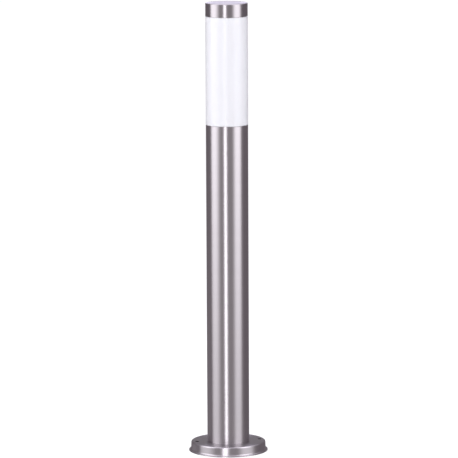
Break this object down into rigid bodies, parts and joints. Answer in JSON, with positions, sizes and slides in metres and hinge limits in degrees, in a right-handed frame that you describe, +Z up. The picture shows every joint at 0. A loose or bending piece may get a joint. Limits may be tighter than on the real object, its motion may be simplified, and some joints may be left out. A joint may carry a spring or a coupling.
{
  "type": "bollard light",
  "caption": "Round stainless bollard light: satin post on a pressed foot, flush opal lamp head with a flat metal cap that turns and lifts off to reach the screw-in lamp.",
  "frame": {"origin": "on the post axis at ground level, the middle of the foot's resting edge", "axes": "+Z up along the post, X through the two anchor holes of the foot, Y across them"},
  "size_m": [0.143, 0.143, 0.815],
  "materials": {
    "zinc_plate": "bright zinc plated",
    "foot_stainless": "satin, pressed and turned",
    "black_nylon": "glass-filled polyamide",
    "zinc_screw": "bright zinc plated",
    "lamp_board": "white solder resist on aluminium",
    "solder": "solder",
    "lamp_dome": "opal, frosted",
    "lamp_plastic": "white moulding",
    "lamp_glass_black": "black vitrite",
    "lamp_cap": "nickel plated",
    "nylon_natural": "natural polyamide",
    "black_rubber": "moulded EPDM",
    "cap_stainless": "satin, turned",
    "opal_acrylic": "opal, polished",
    "earth_wire": "green and yellow insulation",
    "tinned_copper": "tinned",
    "weld_bead": "welded, brushed clean",
    "ceramic": "glazed steatite",
    "brass": "machined",
    "nickel_brass": "nickel plated brass",
    "cable_sheath": "white PVC sheath",
    "holder_plastic": "black thermoset",
    "brown_wire": "brown insulation",
    "blue_wire": "blue insulation",
    "post_stainless": "satin, polished round the tube",
    "mild_steel": "grey primer",
    "block_plastic": "natural polyamide",
    "white_nylon": "white polyamide"
  },
  "bodies": {
    "post": {"backing_ring": "zinc_plate", "base_flange": "foot_stainless", "block_screws": "zinc_screw", "cable_clip": "nylon_natural", "cable_grommet": "black_rubber", "carrier_ring": "black_nylon", "carrier_screws": "zinc_screw", "clip_screws": "zinc_screw", "earth_lead": "earth_wire", "earth_lug": "tinned_copper", "earth_screw": "zinc_screw", "earth_washer": "zinc_screw", "foot_weld": "weld_bead", "holder_base": "ceramic", "holder_contact": "brass", "holder_nipple": "zinc_screw", "holder_shell": "nickel_brass", "holder_terminal_screws": "zinc_screw", "holder_terminals": "brass", "inner_cable": "cable_sheath", "lampholder_dome": "holder_plastic", "lampholder_skirt": "holder_plastic", "live_core": "brown_wire", "neutral_core": "blue_wire", "nipple_nut": "zinc_screw", "post_tube": "post_stainless", "seat_ring": "mild_steel", "seat_tacks": "weld_bead", "shell_rivets": "brass", "spacer_sleeves": "zinc_plate", "strap_screws": "zinc_screw", "terminal_block": "block_plastic", "terminal_inserts": "brass", "terminal_screws": "zinc_screw", "terminal_strap": "zinc_plate"},
    "seal": {"head_seal": "black_rubber"},
    "head": {"diffuser": "opal_acrylic", "bayonet_ring": "black_nylon", "top_plug": "white_nylon", "cap": "cap_stainless", "cap_stud": "zinc_screw", "cap_nut": "zinc_screw", "cap_washer": "zinc_screw", "cap_seal": "black_rubber"},
    "bulb": {"bulb_contact": "solder", "bulb_insulator": "lamp_glass_black", "bulb_shell": "lamp_cap", "bulb_housing": "lamp_plastic", "bulb_board": "lamp_board", "bulb_glass": "lamp_dome"}
  },
  "joints": [
    {"name": "head_lift", "type": "slide", "parent": "post", "child": "seal", "axis": [0, 0, 1], "range_m": [0, 0.13]},
    {"name": "head_turn", "type": "hinge", "parent": "seal", "child": "head", "pos_m": [0, 0, 0.58], "axis": [0, 0, -1], "range_deg": [0, 30]},
    {"name": "bulb_out", "type": "slide", "parent": "post", "child": "bulb", "axis": [0, 0, 1], "range_m": [0, 0.03]}
  ]
}
